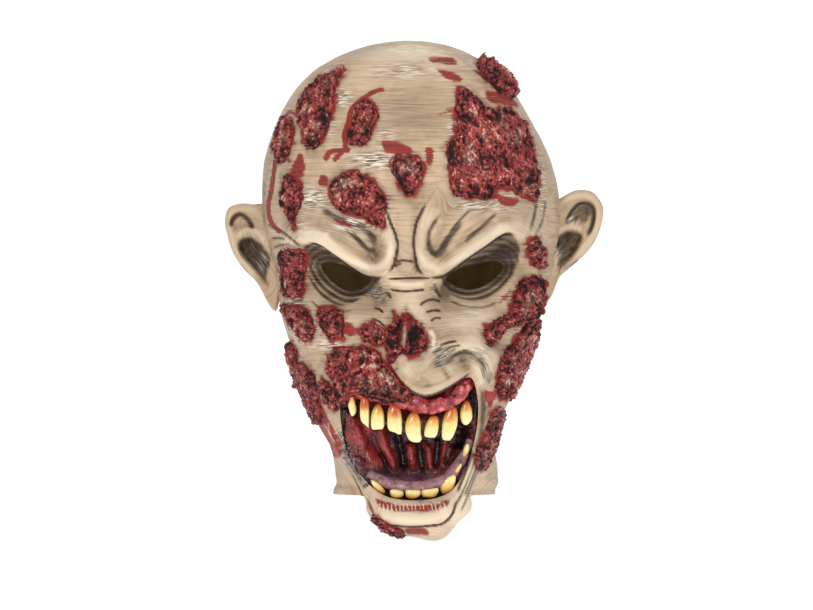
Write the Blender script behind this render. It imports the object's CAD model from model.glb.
import math

import bmesh
import bpy
import numpy as np
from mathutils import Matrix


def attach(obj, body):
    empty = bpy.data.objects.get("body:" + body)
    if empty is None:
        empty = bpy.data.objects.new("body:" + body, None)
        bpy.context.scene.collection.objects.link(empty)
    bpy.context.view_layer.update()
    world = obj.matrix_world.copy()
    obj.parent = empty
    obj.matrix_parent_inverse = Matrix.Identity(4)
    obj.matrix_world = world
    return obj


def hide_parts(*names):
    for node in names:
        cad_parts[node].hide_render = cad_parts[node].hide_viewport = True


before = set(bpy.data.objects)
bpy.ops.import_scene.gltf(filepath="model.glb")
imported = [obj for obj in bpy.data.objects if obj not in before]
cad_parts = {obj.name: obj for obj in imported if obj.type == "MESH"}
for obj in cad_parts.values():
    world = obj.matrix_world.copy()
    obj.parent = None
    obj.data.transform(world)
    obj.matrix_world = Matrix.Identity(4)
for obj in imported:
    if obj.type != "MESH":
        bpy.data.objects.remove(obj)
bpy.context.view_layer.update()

# The skin: the whole head in one slush-cast sheet of latex, 2.5 mm thick, sculpted with brows, sockets,
# nose, lips and chin. It is painted by hand: a pale flesh coat, a dark wash wiped into the creases, a dry
# brush over the ridges and thin red smears.

# Distances are metres. The face is drawn in units of 0.675 mm, counted to the right with 410 at the middle
# and down with 40 at the crown.
unit = 0.000675
middle_across, crown_down = 410, 40
wall = 0.0025
half_width = 0.101
half_depth = 0.118
face_height = 0.336
relief = 0.012
chin_lift = 0.006
turns = np.array([0, 20, 40, 65, 90, 135, 180], float)
sections = np.array([
    # lift, drop, chin, shift, then the reach at each turn
    [90, 0.3, 0, 0, 1.05, 1.05, 1.05, 1.04, 1.03, 1.2, 1.38],
    [60, 0.3, 0, -0.03, 1.04, 1.04, 1.03, 1.02, 1.015, 1.18, 1.32],
    [30, 0.3, 0, -0.04, 0.915, 0.92, 0.93, 0.945, 0.953, 1.06, 1.145],
    [0, 0.3, 0, 0, 0.894, 0.905, 0.93, 0.965, 0.987, 1.06, 1.106],
    [0, 0.36, 0, 0.01, 0.9, 0.91, 0.93, 0.97, 0.995, 1.05, 1.1],
    [0, 0.43, 0, 0.02, 0.875, 0.88, 0.9, 0.93, 0.946, 1.01, 1.06],
    [0, 0.49, 0, 0.02, 0.875, 0.875, 0.88, 0.895, 0.906, 0.955, 0.99],
    [0, 0.55, 0, 0, 0.905, 0.9, 0.87, 0.855, 0.86, 0.885, 0.9],
    [0, 0.61, 0, 0, 0.94, 0.93, 0.885, 0.83, 0.8, 0.79, 0.8],
    [0, 0.67, 0, -0.02, 0.98, 0.965, 0.885, 0.79, 0.735, 0.71, 0.725],
    [0, 0.72, 0, -0.025, 0.99, 0.965, 0.855, 0.73, 0.66, 0.655, 0.68],
    [0, 0.77, 0, -0.01, 0.97, 0.95, 0.82, 0.66, 0.585, 0.62, 0.655],
    [0, 0.82, 0, 0.02, 0.955, 0.935, 0.75, 0.585, 0.545, 0.61, 0.64],
    [0, 0.855, 0.03, 0.04, 0.95, 0.92, 0.67, 0.54, 0.54, 0.605, 0.635],
    [0, 0.872, 0.058, 0.045, 0.94, 0.88, 0.585, 0.515, 0.537, 0.605, 0.63],
    [0, 0.882, 0.083, 0.05, 0.91, 0.81, 0.53, 0.505, 0.535, 0.605, 0.63],
    [0, 0.889, 0.101, 0.05, 0.85, 0.7, 0.495, 0.497, 0.534, 0.605, 0.63],
    [0, 0.894, 0.106, 0.045, 0.73, 0.59, 0.475, 0.492, 0.534, 0.605, 0.63],
    [0, 0.899, 0.09, 0.035, 0.57, 0.5, 0.46, 0.489, 0.534, 0.605, 0.63],
    [0, 0.905, 0.06, 0.03, 0.47, 0.46, 0.452, 0.487, 0.534, 0.605, 0.63],
    [0, 0.911, 0.03, 0.03, 0.43, 0.435, 0.449, 0.487, 0.534, 0.605, 0.63],
])
hem = len(sections) - 1
forms = [
    # reach, rise, then the path
    (0.1, 1.1, [(-0.72, 0.395), (-0.55, 0.41), (-0.3, 0.455), (-0.15, 0.472)]),
    (0.08, 0.7, [(-0.15, 0.472), (-0.12, 0.41), (-0.16, 0.36)]),
    (0.1, 1.1, [(0.74, 0.39), (0.6, 0.4), (0.33, 0.44), (0.17, 0.468)]),
    (0.08, 0.7, [(0.17, 0.468), (0.06, 0.42), (0.12, 0.36)]),
    (0.17, -1.4, [(-0.58, 0.455), (-0.4, 0.485), (-0.26, 0.49)]),
    (0.17, -1.4, [(0.64, 0.44), (0.44, 0.475), (0.29, 0.488)]),
    (0.2, 0.7, [(-0.7, 0.56), (-0.5, 0.575)]),
    (0.2, 0.7, [(0.74, 0.54), (0.55, 0.56)]),
    (0.16, 1, [(-0.01, 0.5), (0, 0.6)]),
    (0.1, -1.2, [(-0.07, 0.575), (-0.02, 0.61)]),
    (0.2, 0.8, [(0, 0.66), (0.34, 0.68)]),
    (0.18, -0.4, [(-0.42, 0.65), (-0.2, 0.67)]),
    (0.08, 0.7, [(0.2, 0.63), (0.37, 0.615), (0.52, 0.65), (0.58, 0.73)]),
    (0.07, -0.6, [(0.19, 0.645), (0.3, 0.64)]),
    (0.09, 0.55, [(-0.2, 0.93), (0.07, 0.945), (0.33, 0.925)]),
    (0.13, 0.5, [(0, 0.975), (0.15, 0.975)]),
]


def smoothstep(low, high, value):
    """Runs from 0 at low to 1 at high without a corner."""
    share = np.clip((value - low) / (high - low), 0, 1)
    return share * share * (3 - 2 * share)


def section_rows(level):
    """The table of sections at any level between its rows."""
    row = np.clip(np.floor(level).astype(int), 0, hem - 1)
    t = (level - row)[..., None]
    a, b, c, d = (sections[np.clip(row + step, 0, hem)] for step in (-1, 0, 1, 2))
    return 0.5 * (2 * b + (c - a) * t + (2 * a - 5 * b + 4 * c - d) * t**2 + (3 * (b - c) + d - a) * t**3)


def reach_at(rows, turn):
    """How far a section reaches out at a turn in degrees from the front."""
    angle = np.abs(turn)
    k = np.clip(np.searchsorted(turns, angle) - 1, 0, len(turns) - 2)
    reach = rows[..., 4:]
    slope = np.zeros_like(reach)
    slope[..., 1:-1] = (reach[..., 2:] - reach[..., :-2]) / (turns[2:] - turns[:-2])
    span = turns[k + 1] - turns[k]
    t = (angle - turns[k]) / span

    def pick(table, column):
        return np.take_along_axis(table, column[..., None], -1)[..., 0]

    start = pick(reach, k) * (2 * t**3 - 3 * t**2 + 1) + pick(slope, k) * span * (t**3 - 2 * t**2 + t)
    return start + pick(reach, k + 1) * (3 * t**2 - 2 * t**3) + pick(slope, k + 1) * span * (t**3 - t**2)


def form_point(level, turn):
    """A point of the plain head."""
    rows = section_rows(level)
    lift, angle = np.radians(rows[..., 0]), np.radians(turn)
    out = reach_at(rows, turn) * np.cos(lift)
    drop = rows[..., 1] * (1 - np.sin(lift)) + rows[..., 2] * (1 - smoothstep(5, 55, np.abs(turn)))
    x = half_width * (out * np.sin(angle) + rows[..., 3])
    return np.stack([x, -half_depth * out * np.cos(angle), wall - face_height * drop], -1)


def form_normal(level, turn, aside=0.02):
    """The outward direction of the plain head, from points a little aside."""
    here = np.maximum(level, aside)
    down = form_point(np.minimum(level + aside, hem), turn) - form_point(np.maximum(level - aside, aside), turn)
    normal = np.cross(down, form_point(here, turn + 1) - form_point(here, turn - 1))
    normal /= np.linalg.norm(normal, axis=-1, keepdims=True)
    normal[level < aside] = (0, 0, 1)
    return normal


def drawn(points):
    """Where points lie in the drawing: across and down."""
    return middle_across + points[..., 0] / unit, crown_down + (wall - points[..., 2]) / unit


def undrawn(u, v, y):
    """Points of the drawing at a depth y."""
    return np.stack([(u - middle_across) * unit, y, wall - (v - crown_down) * unit], -1)


def soft_spot(u, v, across, down, reach_across, reach_down):
    """A soft patch of the drawing: 1 in its middle, and fading out."""
    return np.exp(-((u - across) / reach_across) ** 2 - ((v - down) / reach_down) ** 2)


def smooth_path(points, closed=False, step=2.0):
    """A curve through points, in parts of about the step."""
    points = np.array(points, float)
    count, made = len(points), []
    for k in range(count if closed else count - 1):
        places = [(k + s) % count if closed else min(max(k + s, 0), count - 1) for s in (-1, 0, 1, 2)]
        a, b, c, d = points[places]
        parts = max(2, math.ceil(np.linalg.norm(c - b) / step))
        t = np.arange(parts)[:, None] / parts
        made.append(0.5 * (2 * b + (c - a) * t + (2 * a - 5 * b + 4 * c - d) * t**2 + (3 * (b - c) + d - a) * t**3))
    made.append(made[0][:1] if closed else points[-1:])
    return np.concatenate(made)


def along_path(u, v, path):
    """Distance to a path, side of it (-1 above a path that runs right) and share of its length."""
    best, side, share = np.full(u.shape, np.inf), np.zeros(u.shape), np.zeros(u.shape)
    lengths = np.linalg.norm(np.diff(path, axis=0), axis=1)
    run = 0.0
    for start, end, length in zip(path[:-1], path[1:], lengths):
        if length < 1e-9:
            continue
        ahead = (end - start) / length
        du, dv = u - start[0], v - start[1]
        t = np.clip(du * ahead[0] + dv * ahead[1], 0, length)
        far = np.hypot(du - t * ahead[0], dv - t * ahead[1])
        closer = far < best
        best = np.where(closer, far, best)
        side = np.where(closer, np.sign(ahead[0] * dv - ahead[1] * du), side)
        share = np.where(closer, (run + t) / lengths.sum(), share)
        run += length
    return best, side, share


def inside_by(u, v, outline):
    """How far inside a closed outline each point lies; negative outside."""
    far = along_path(u, v, outline)[0]
    inside = np.zeros(u.shape, bool)
    for (au, av), (bu, bv) in zip(outline[:-1], outline[1:]):
        crosses = (av > v) != (bv > v)
        if av != bv:
            inside ^= crosses & (u < (bu - au) * (v - av) / (bv - av) + au)
    return np.where(inside, far, -far)


def scatter(cells, seed):
    """A repeatable number from 0 to 1 for each lattice cell."""
    mixed = cells[..., 0] * 73856093 ^ cells[..., 1] * 19349663 ^ cells[..., 2] * 83492791 ^ (seed * 9781 + 17)
    mixed = (mixed ^ (mixed >> 13)) * 1274126177 & 0xFFFFFFFF
    mixed = (mixed ^ (mixed >> 16)) * 2246822519 & 0xFFFFFFFF
    return ((mixed ^ (mixed >> 15)) & 0xFFFFFF) / 0xFFFFFF


def mottle(points, size, seed=0):
    """Smooth noise from -1 to 1, with lumps of about the size."""
    at = points / size
    low = np.floor(at).astype(np.int64)
    t = at - low
    t = t * t * (3 - 2 * t)
    total = np.zeros(points.shape[:-1])
    for corner in np.ndindex(2, 2, 2):
        weight = np.prod(np.where(np.array(corner), t, 1 - t), axis=-1)
        total += weight * scatter(low + corner, seed)
    return 2 * total - 1


# rises in millimetres, widths in units of the drawing, ink from 0 to 1
left_brow_edge = [(306, 244), (319, 244.5), (331, 251), (344, 261.5), (357, 271), (368, 277), (378, 278),
    (387, 275), (393, 267), (396.5, 256), (397.7, 245), (395.5, 235), (391.5, 225), (388, 215), (386, 206)]
right_brow_edge = [(427, 203), (421, 213), (416.5, 223), (414, 235), (413.5, 247), (415.5, 260), (418, 269),
    (424, 276), (434, 277.5), (445, 275), (463, 262), (484, 247), (497, 237.5), (507, 234.5), (518, 239)]
snarl_fold = [(434, 364.5), (445, 359), (455, 352.5), (464, 350.5), (474, 354), (482, 362), (487, 374), (486, 385)]
upper_lip_edge = [(389, 358), (393, 369), (400, 379), (408, 387.5), (417, 392.5), (427, 394), (438, 391), (451, 384),
    (463, 375.5), (469, 369)]
jaw_edge = [(326, 428), (331, 442), (341, 456), (353, 472), (362, 492), (369, 510)]
strokes = [
    ("fold", 7, 3.2, 0.95, left_brow_edge[:8]),
    ("fold", 4.5, 1.3, 0.8, left_brow_edge[7:]),
    ("fold", 4.5, 1.3, 0.8, right_brow_edge[:8]),
    ("fold", 7, 3.2, 0.95, right_brow_edge[7:]),
    ("groove", 4.5, 2.2, 0.4, [(318, 207), (336, 218), (351, 222), (363, 229), (372, 238), (376, 248)]),
    ("groove", 2.6, 1.1, 0.3, [(351, 232), (361, 242), (369, 250), (377, 249)]),
    ("groove", 1.6, 0.6, 0.35, [(343, 227), (353, 236), (361, 244), (366, 249)]),
    ("ridge", 6, 1.6, -0.5, [(300, 232), (319, 236), (338, 249), (357, 261), (374, 267), (386, 262),
        (391, 248), (386, 234)]),
    ("groove", 3.6, 2.0, 0.36, [(466, 219), (448, 239), (441, 251), (434, 254), (429, 247), (429, 234),
        (435, 222), (443, 211)]),
    ("groove", 1.8, 0.7, 0.3, [(479, 201), (462, 218), (448, 235)]),
    ("groove", 1.6, 0.6, 0.25, [(497, 212), (478, 229), (462, 244)]),
    ("ridge", 6, 1.6, -0.3, [(418, 240), (422, 260), (434, 268), (446, 265), (463, 252), (484, 237),
        (499, 228), (514, 228)]),
    ("groove", 1.6, 0.7, 0.8, [(395, 262), (404, 260.5), (414, 262)]),
    ("groove", 1.4, 0.5, 0.6, [(394, 267.5), (398, 264.5), (403, 263.5)]),
    ("groove", 1.2, 1.1, 0.9, [(386, 279), (405, 278), (424, 278), (432, 278)]),
    ("groove", 1.1, 1.1, 0.85, [(389, 289), (401, 290.5), (410, 290.5), (426, 289)]),
    ("ridge", 3.4, 1.0, -0.3, [(387, 284), (405, 284.5), (427, 283.5)]),
    ("groove", 1.5, 0.6, 0.7, [(434, 282), (436, 290), (441, 297)]),
    ("groove", 1.2, 0.9, 0.85, [(419, 306), (424, 301), (432, 299), (441, 301)]),
    ("groove", 1.1, 0.8, 0.8, [(424.5, 311.5), (433, 309.5), (441, 310)]),
    ("groove", 1.1, 0.7, 0.8, [(430, 320.5), (435, 317), (441, 317.5)]),
    ("groove", 1.4, 0.6, 0.8, [(419, 325), (422.5, 321)]),
    ("groove", 1.1, 0.7, 0.75, [(374, 307), (380, 308.5), (384, 312.5)]),
    ("groove", 1.2, 0.8, 0.8, [(371, 317.5), (379, 320), (386, 326)]),
    ("groove", 1.5, 0.6, 0.7, [(371, 296), (376, 293), (382, 292)]),
    ("groove", 1.4, 0.5, 0.6, [(386, 291), (389, 294), (391.5, 298)]),
    ("groove", 2.2, 0.8, 0.7, [(265, 223), (281, 231), (295, 241), (303, 249)]),
    ("groove", 1.6, 0.5, 0.6, [(270, 238), (280, 238), (287, 240)]),
    ("groove", 1.6, 0.5, 0.6, [(273, 249), (280, 245), (293, 245)]),
    ("groove", 2.0, 0.6, 0.6, [(527, 236), (534, 213), (538, 185), (540, 158)]),
    ("groove", 1.8, 0.5, 0.5, [(534, 236), (541, 221), (546, 198)]),
    ("fold", 6, 2.4, 0.9, snarl_fold),
    ("ridge", 6, 1.8, -0.4, [(440, 372), (452, 364), (464, 361), (473, 366), (479, 377), (481, 388)]),
    ("groove", 8, 2.4, 0.75, [(436, 345), (440, 353), (444, 364)]),
    ("ridge", 2.6, 1.6, -0.6, [(429, 328), (433, 337), (432, 347)]),
    ("groove", 1.3, 0.5, 0.8, [(438, 344), (448, 341), (456, 340)]),
    ("groove", 1.3, 0.5, 0.8, [(437, 350), (448, 346), (460, 344)]),
    ("groove", 1.3, 0.5, 0.8, [(436, 357), (446, 352), (455, 347)]),
    ("groove", 1.2, 0.4, 0.8, [(434, 353), (442, 350), (450, 348)]),
    ("groove", 1.2, 0.4, 0.8, [(435, 362), (444, 358), (452, 353)]),
    ("ridge", 9, 2.4, -0.2, [(400, 364), (414, 372), (430, 375), (446, 372)]),
    ("fold", 7, 2.8, 0.6, upper_lip_edge),
    ("groove", 1.4, 0.5, 0.6, [(392, 372), (396, 368), (399, 367)]),
    ("fold", 6, 2.0, 0.9, [(369, 498), (374, 510), (386, 518.5), (408, 521.5), (427, 520.5), (441, 518.5),
        (451, 509), (457, 492)]),
    ("ridge", 6, 1.8, -0.3, [(378, 502), (390, 511), (409, 514), (428, 513), (441, 508), (448, 496)]),
    ("groove", 1.8, 0.8, 0.8, [(456, 491), (462, 476), (469, 458), (473, 444)]),
    ("groove", 1.6, 0.5, 0.6, [(463, 494), (470, 478), (476, 462)]),
    ("groove", 3.0, 1.0, 0.75, [(338, 424), (343, 443), (350, 461), (360, 475), (369, 486)]),
    ("ridge", 2.6, 1.2, -0.5, [(329, 410), (332, 430), (340, 450), (352, 470), (364, 492)]),
    ("groove", 1.5, 0.8, 0.7, jaw_edge),
    ("groove", 4.5, 0.8, 0.5, [(480, 384), (483, 408), (480, 434), (474, 452)]),
    ("groove", 1.3, 0.4, 0.5, [(452, 505), (461, 490), (468, 474), (476, 450)]),
    ("groove", 1.3, 0.4, 0.5, [(458, 512), (467, 492), (474, 474), (482, 455)]),
    ("groove", 3.5, 1.0, 0.6, [(263, 176), (262, 205), (265, 235)]),
    ("groove", 1.6, 0.5, 0.4, [(448, 300), (466, 306), (484, 306), (500, 300)]),
    ("groove", 1.6, 0.5, 0.4, [(310, 298), (322, 307), (340, 311), (356, 308)]),
]
# pale ticks over the lower lip
for step in range(17):
    across = 380 + 3.9 * step
    strokes.append(("ridge", 0.9, 0.5, -0.8, [(across, 499.5 - 0.002 * (across - 412) ** 2), (across + 0.8, 506)]))
# hairs at the mouth's edge on the jaw, a dark one below each pale one
for across, down in ((339, 430), (341, 437), (344, 444), (347, 451), (350, 457), (355, 464), (360, 471), (366, 478)):
    strokes.append(("ridge", 1.5, 0.9, -1.0, [(across - 4, down + 1.5), (across, down), (across + 3.5, down - 3.5)]))
    strokes.append(("groove", 2.2, 0.9, 1.0,
        [(across - 4, down + 5), (across + 0.5, down + 3.5), (across + 5, down - 1)]))
blobs = [
    # across, down, reach across, reach down, rise
    (411, 338, 7, 8, -4.0), (393, 338, 5, 9, -2.5), (404.5, 332, 1.8, 11, 3.2), (427, 372, 17, 11, 1.5),
    (345, 250, 12, 6, 0.8), (322, 300, 9, 7, 0.8), (489, 397, 5, 7, 1.6),
    (303, 226, 6, 10, 1.0), (516, 222, 7, 9, 1.0), (456, 326, 20, 12, 0.8), (370, 300, 10, 8, 0.5),
]
eye_openings = [
    [(322.5, 265), (330, 262.5), (343.5, 265), (352, 269.5), (360, 274), (371, 279), (368, 284), (359, 289),
        (347, 289), (337, 283.5), (329, 276)],
    [(446, 278), (458, 268.5), (474, 264.5), (489, 261.5), (500, 263), (499.5, 270), (491, 279.5), (480, 286),
        (466, 288.5), (453, 284.5)],
]
eye_sockets = [
    [(306, 245), (318, 245), (331, 251.5), (344, 262), (357, 271.5), (368, 277.5), (379, 279), (375, 286),
        (369, 292.5), (360, 298.5), (350, 304), (339, 305), (328, 301), (318.5, 292), (311.5, 281), (307, 267),
        (305, 254)],
    [(441, 279), (447, 275), (463, 262.5), (484, 247.5), (497, 238.5), (507, 235.5), (517, 242), (518, 257),
        (511, 276),
        (497, 292), (482, 300), (466, 300), (451, 293.5)],
]
mouth_edge = [(341, 404), (345, 397), (354, 393), (366, 391), (380, 394), (392, 396), (401, 391), (409, 389.5),
    (417, 393), (427, 394.5), (438, 391.5), (451, 384.5), (462, 377), (470, 376), (475, 388), (477, 408), (475, 430),
    (468, 457), (460, 475), (450, 487), (438, 493), (424, 495.5), (403, 495.5), (385, 491.5), (370, 481), (357, 467),
    (348, 450), (343, 428)]
openings = [smooth_path(outline, closed=True) for outline in eye_openings + [mouth_edge]]
sockets = [smooth_path(outline, closed=True) for outline in eye_sockets]


def sculpt(u, v):
    """The fine sculpting: height in metres, dark wash and pale dry brush."""
    height, wash, pale = np.zeros(u.shape), np.zeros(u.shape), np.zeros(u.shape)
    for kind, width, rise, ink, points in strokes:
        path = smooth_path(points)
        low, high = path.min(axis=0) - 4 * width, path.max(axis=0) + 4 * width
        near = (u > low[0]) & (u < high[0]) & (v > low[1]) & (v < high[1])
        if not near.any():
            continue
        far, side, share = along_path(u[near], v[near], path)
        taper = smoothstep(0, 0.16, np.minimum(share, 1 - share))
        if kind == "groove":
            shape = -np.exp(-(far / width) ** 2)
        elif kind == "ridge":
            shape = np.exp(-(far / width) ** 2)
        else:
            above = np.maximum(-side * far, 0)
            shape = 1.3 * (1 - np.exp(-(above / (0.35 * width)) ** 2)) * np.exp(-(above / (1.6 * width)) ** 2)
            shape -= 0.45 * np.exp(-(far / (0.3 * width)) ** 2)
        height[near] += rise * 0.001 * shape * taper
        line = 0.3 + 0.55 * width
        if kind == "fold":
            line = 0.9 + 0.08 * width
        mark = abs(ink) * taper * np.exp(-(far / line) ** 2)
        if ink > 0:
            wash[near] = np.maximum(wash[near], mark)
        else:
            pale[near] = np.maximum(pale[near], mark)
    for *patch, rise in blobs:
        height += rise * 0.001 * soft_spot(u, v, *patch)
    for opening, socket in zip(openings, sockets):
        near = (np.abs(u - socket[:, 0].mean()) < 60) & (np.abs(v - socket[:, 1].mean()) < 50)
        deep = inside_by(u[near], v[near], socket)
        out = -inside_by(u[near], v[near], opening)
        part = smoothstep(-1.5, 2.5, deep)
        rings = np.cos(2 * np.pi * (out - 1.5) / 6.0)
        height[near] += part * 0.0006 * rings * np.exp(-np.maximum(out, 0) / 26)
        shade = 0.46 + 0.2 * np.clip(-rings, -0.6, 1) + 0.4 * np.exp(-np.maximum(out, 0) / 2.2)
        upper = smoothstep(6, -6, v[near] - np.interp(u[near], socket[:, 0][:9], socket[:, 1][:9] + 8))
        wash[near] = np.maximum(wash[near], part * np.clip(shade + 0.22 * upper, 0, 1))
    return height, wash, pale


def to_forms(points):
    """How far brows, sockets, nose, cheeks and lips stand up or lie in."""
    rise = np.zeros(points.shape[:-1])
    for reach, height, path in forms:
        places = np.array([(half_width * across, wall - face_height * drop) for across, drop in path])
        far = along_path(points[..., 0], points[..., 2], places)[0] / (half_width * reach)
        rise += relief * height * np.exp(-far * far)
    return rise


def skin(level, turn, offset=0.0):
    """Points of the sculpted skin, its outward direction, its drawing place and its paint."""
    points, normal = form_point(level, turn), form_normal(level, turn)
    facing = smoothstep(0.1, 0.4, -normal[..., 1])
    points = points + normal * (to_forms(points) * facing)[..., None]
    # the chin runs nearly level below, lowest to the right of its middle
    u, v = drawn(points)
    points[..., 2] += chin_lift * np.exp(-((u - 409) / 25) ** 2) * smoothstep(504, 542, v)
    u, v = drawn(points)
    height, wash, pale = sculpt(u, v)
    facing = smoothstep(0.0, 0.2, -normal[..., 1])
    lumps = 0.00035 * mottle(points, 0.013, 3) + 0.00012 * mottle(points, 0.004, 5)
    points = points + normal * (height * facing + lumps + offset)[..., None]
    return points, normal, wash * facing, pale * facing


def grid_of(rows, columns):
    """A flat bmesh grid, with the row and column number of each of its vertices."""
    made = bmesh.new()
    bmesh.ops.create_grid(made, x_segments=columns - 1, y_segments=rows - 1, size=1)
    flat = np.array([vertex.co[:] for vertex in made.verts])
    column = np.rint((flat[:, 0] + 1) / 2 * (columns - 1)).astype(int)
    row = np.rint((flat[:, 1] + 1) / 2 * (rows - 1)).astype(int)
    return made, row, column


def lay(made, points, **paints):
    """Moves a bmesh's vertices to their places and keeps numbers on them for the paint."""
    layers = {name: made.verts.layers.float.new(name) for name in paints}
    for vertex, place in zip(made.verts, points):
        vertex.co = place
    for name, values in paints.items():
        layer = layers[name]
        for vertex, value in zip(made.verts, values):
            vertex[layer] = value


def turn_faces(made, forwards=True):
    """Turns all faces to the front, or away from it, by the face that lies furthest forward."""
    bmesh.ops.recalc_face_normals(made, faces=made.faces)
    foremost = min(made.faces, key=lambda face: face.calc_center_median().y)
    if (foremost.normal.y < 0) != forwards:
        bmesh.ops.reverse_faces(made, faces=made.faces)


def piece_from(made, name, material):
    mesh = bpy.data.meshes.new(name)
    made.to_mesh(mesh)
    made.free()
    mesh.shade_smooth()
    mesh.materials.append(material)
    piece = bpy.data.objects.new(name, mesh)
    bpy.context.scene.collection.objects.link(piece)
    return piece


def fit(piece, slot, *nodes):
    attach(piece, "root")
    if nodes:
        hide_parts(*nodes)


def linear(colour):
    channels = [int(colour[k:k + 2], 16) / 255 for k in (1, 3, 5)]
    return [c / 12.92 if c <= 0.04045 else ((c + 0.055) / 1.055) ** 2.4 for c in channels] + [1.0]


def add(material, kind, inputs=(), ramp=(), **settings):
    """Adds a node, gives its outputs; an input is a value, a colour or another node's output."""
    tree = material.node_tree
    made = tree.nodes.new("ShaderNode" + kind)
    for name, value in settings.items():
        setattr(made, name, value)
    for k, (place, colour) in enumerate(ramp):
        elements = made.color_ramp.elements
        spot = elements[k] if k < len(elements) else elements.new(place)
        spot.position = place
        spot.color = linear(colour)
    for socket, value in dict(inputs).items():
        if isinstance(value, bpy.types.NodeSocket):
            tree.links.new(value, made.inputs[socket])
        else:
            made.inputs[socket].default_value = linear(value) if isinstance(value, str) else value
    return made.outputs


def new_material(name):
    material = bpy.data.materials.new(name)
    material.use_nodes = True
    material.node_tree.nodes.clear()
    return material


# painted latex: a matt, slightly waxy rubber; the brushed clay of the sculpture shows as fine lines
latex = new_material("painted_latex")
place = add(latex, "TexCoord")["Object"]
axes = add(latex, "SeparateXYZ", {0: place})
grain, wash, pale, blood, scrub = (
    add(latex, "Attribute", attribute_name=name)["Fac"] for name in ("grain", "wash", "pale", "blood", "scrub"))
# brushed lines 1.1 mm apart, each of them about 22 mm long, over patches 22 mm wide and specks of 1.6 mm
line_gap, line_length, patch_width, speck_width = 0.0011, 0.022, 0.022, 0.0016
lines_up = add(latex, "Math", {0: grain, 1: 1 / line_gap}, operation="MULTIPLY")[0]
lines_along, lines_deep = (
    add(latex, "Math", {0: axis, 1: 1 / line_length}, operation="MULTIPLY")[0] for axis in (axes[0], axes[1]))
lines_at = add(latex, "CombineXYZ", {0: lines_along, 1: lines_deep, 2: lines_up})[0]
lines = add(latex, "TexNoise", {"Vector": lines_at, "Scale": 1.0, "Detail": 2.0})["Fac"]
patches = add(latex, "TexNoise", {"Vector": place, "Scale": 1 / patch_width, "Detail": 4.0})["Fac"]
specks = add(latex, "TexNoise", {"Vector": place, "Scale": 1 / speck_width, "Detail": 3.0})["Fac"]
flesh = add(latex, "ValToRGB", {0: patches}, ramp=((0.3, "#B2967A"), (0.7, "#D0B394")))[0]
brushed = add(latex, "MapRange", {0: lines, 1: 0.42, 2: 0.7, 3: 0.0, 4: 0.55})[0]
fade = add(latex, "MapRange", {0: axes[1], 1: -0.03, 2: 0.05, 3: 1.0, 4: 0.3})[0]
brushed = add(latex, "Math", {0: brushed, 1: fade}, operation="MULTIPLY")[0]
flesh = add(latex, "Mix", {0: brushed, 6: flesh, 7: "#7E6850"}, data_type="RGBA")[2]
flesh = add(latex, "Mix", {0: pale, 6: flesh, 7: "#E2CFB4"}, data_type="RGBA")[2]
uneven = add(latex, "Math", {0: lines, 1: 1.3, 2: 0.35}, operation="MULTIPLY_ADD")[0]
washed = add(latex, "Math", {0: wash, 1: uneven}, operation="MULTIPLY", use_clamp=True)[0]
wash_colour = add(latex, "ValToRGB", {0: washed},
    ramp=((0.0, "#A58E72"), (0.4, "#7C6953"), (0.75, "#4E4034"), (1.0, "#2A201A")))[0]
wash_share = add(latex, "MapRange", {0: washed, 1: 0.03, 2: 0.5, 3: 0.0, 4: 0.95})[0]
flesh = add(latex, "Mix", {0: wash_share, 6: flesh, 7: wash_colour}, data_type="RGBA")[2]
# the dry brush: strokes 0.7 mm wide and 9 mm long, near black and near white
strokes_at = add(latex, "VectorMath", {0: lines_at, 1: (2.4, 2.4, 1.5), 2: (3.7, 1.9, 0.4)},
    operation="MULTIPLY_ADD")[0]
brush = add(latex, "TexNoise", {"Vector": strokes_at, "Scale": 1.0, "Detail": 3.0})["Fac"]
brush_colour = add(latex, "ValToRGB", {0: brush},
    ramp=((0.4, "#453B30"), (0.47, "#86745F"), (0.52, "#C6B092"), (0.58, "#F6F1E6")))[0]
flesh = add(latex, "Mix", {0: scrub, 6: flesh, 7: brush_colour}, data_type="RGBA")[2]
# the smears: a thin red that breaks up along the brush strokes
streaks = add(latex, "Math", {0: lines, 1: 1.0, 2: -0.5}, operation="MULTIPLY_ADD")[0]
thin = add(latex, "Math", {0: specks, 1: 0.5, 2: streaks}, operation="MULTIPLY_ADD")[0]
bloodied = add(latex, "Math", {0: blood, 1: thin}, operation="ADD")[0]
bloodied = add(latex, "MapRange", {0: bloodied, 1: 0.5, 2: 0.9, 3: 0.0, 4: 0.95})[0]
blood_colour = add(latex, "ValToRGB", {0: lines}, ramp=((0.35, "#6A1618"), (0.65, "#9C2C2A")))[0]
flesh = add(latex, "Mix", {0: bloodied, 6: flesh, 7: blood_colour}, data_type="RGBA")[2]
ticks = add(latex, "MapRange", {0: pale, 1: 0.5, 2: 0.85, 3: 0.0, 4: 0.7})[0]
flesh = add(latex, "Mix", {0: ticks, 6: flesh, 7: "#E6D3B8"}, data_type="RGBA")[2]
dull = add(latex, "MapRange", {0: patches, 1: 0.3, 2: 0.7, 3: 0.42, 4: 0.56})[0]
rough = add(latex, "Math", {0: bloodied, 1: 0.1, 2: dull}, operation="MULTIPLY_ADD")[0]
fine = add(latex, "Math", {0: specks, 1: 0.4, 2: lines}, operation="MULTIPLY_ADD")[0]
bump = add(latex, "Bump", {"Strength": 0.6, "Distance": 0.0006, "Height": fine})[0]
shader = add(latex, "BsdfPrincipled", {"Base Color": flesh, "Roughness": rough, "Normal": bump,
    "Specular IOR Level": 0.22})
add(latex, "OutputMaterial", {"Surface": shader[0]})

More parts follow.
